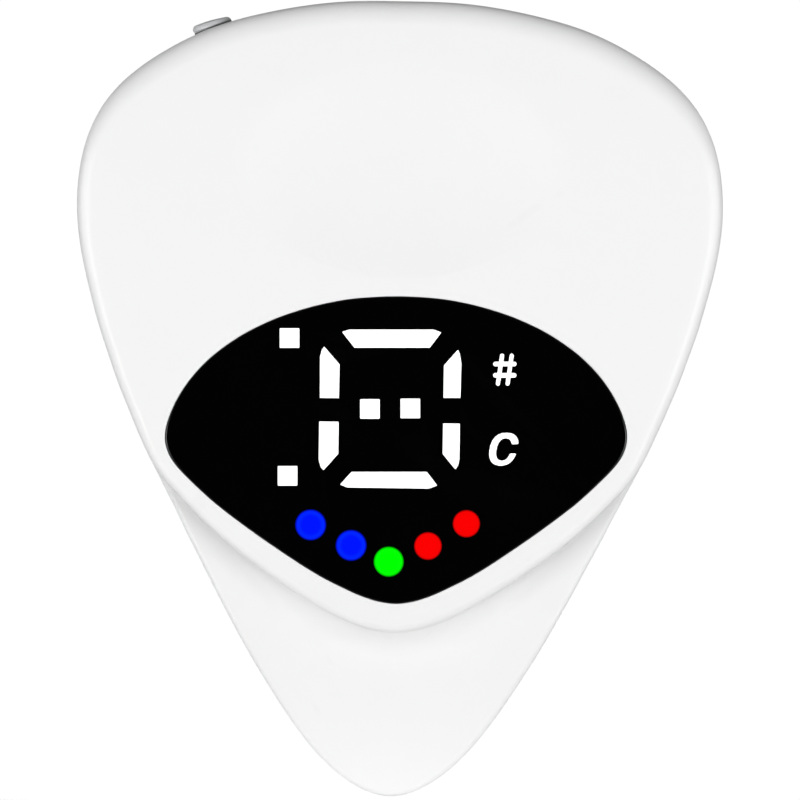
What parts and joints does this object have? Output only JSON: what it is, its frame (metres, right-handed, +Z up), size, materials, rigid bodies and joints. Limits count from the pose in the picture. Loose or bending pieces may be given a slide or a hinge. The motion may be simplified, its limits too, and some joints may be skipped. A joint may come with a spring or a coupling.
{
  "type": "clip on tuner",
  "caption": "Pick-shaped clip-on instrument tuner: lit display in a raised head, power button on its edge, and a sprung rear lever with rubber jaws.",
  "frame": {"origin": "middle of the front rubber pad's gripping face", "axes": "+Y out of the front pad towards the rear jaw (the display faces -Y), +Z up the body away from the narrow tip, X across the width"},
  "size_m": [0.0388, 0.0236, 0.0479],
  "materials": {
    "white_gloss": "glossy",
    "black_gloss": "mirror-like black gloss",
    "frosted_white": "frosted, lit from behind",
    "pipe_blue": "lit blue",
    "pipe_green": "lit green",
    "pipe_red": "lit red",
    "baffle_grey": "matt",
    "board_green": "solder mask",
    "lamp": "phosphor",
    "chip": "matt",
    "steel": "bright",
    "cell_foil": "foil pouch",
    "foam": "foam tape",
    "lead_red": "insulation",
    "lead_black": "insulation",
    "brass": "satin",
    "rubber": "matt",
    "button_grey": "glossy"
  },
  "bodies": {
    "front_arm": {"front_shell": "white_gloss", "back_cover": "white_gloss", "display_window": "black_gloss", "segment_light_guide": "frosted_white", "dot_light_pipe_1": "pipe_blue", "dot_light_pipe_2": "pipe_blue", "dot_light_pipe_3": "pipe_green", "dot_light_pipe_4": "pipe_red", "dot_light_pipe_5": "pipe_red", "light_baffle": "baffle_grey", "main_board": "board_green", "dot_lamp_1": "lamp", "dot_lamp_2": "lamp", "dot_lamp_3": "lamp", "dot_lamp_4": "lamp", "dot_lamp_5": "lamp", "digit_lamp_1": "lamp", "digit_lamp_2": "lamp", "digit_lamp_3": "lamp", "digit_lamp_4": "lamp", "tuner_chip": "chip", "charger_chip": "chip", "crystal": "steel", "charge_socket": "steel", "charge_socket_tongue": "chip", "power_switch": "chip", "battery_cell": "cell_foil", "battery_tape": "foam", "battery_lead_red": "lead_red", "battery_lead_black": "lead_black", "vibration_sensor": "brass", "sensor_lead_red": "lead_red", "sensor_lead_black": "lead_black", "front_pad": "rubber", "cover_screw_1": "steel", "cover_screw_2": "steel", "cover_screw_3": "steel", "cover_screw_4": "steel", "hinge_pin": "steel", "pin_clip": "steel", "torsion_spring": "steel"},
    "rear_lever": {"rear_arm": "white_gloss", "rear_pad": "rubber"},
    "button": {"power_button": "button_grey"}
  },
  "joints": [
    {"name": "lever_hinge", "type": "hinge", "parent": "front_arm", "child": "rear_lever", "pos_m": [0, 0.0052, 0.018], "axis": [1, 0, 0], "range_deg": [0, 36], "stiffness_Nm_per_rad": 0.1, "springref_deg": -40.11, "deforming": ["torsion_spring"]},
    {"name": "button_press", "type": "slide", "parent": "front_arm", "child": "button", "axis": [0.2881, 0, -0.9576], "range_m": [0, 0.00035], "stiffness_N_per_m": 12, "springref_m": -0.002}
  ]
}
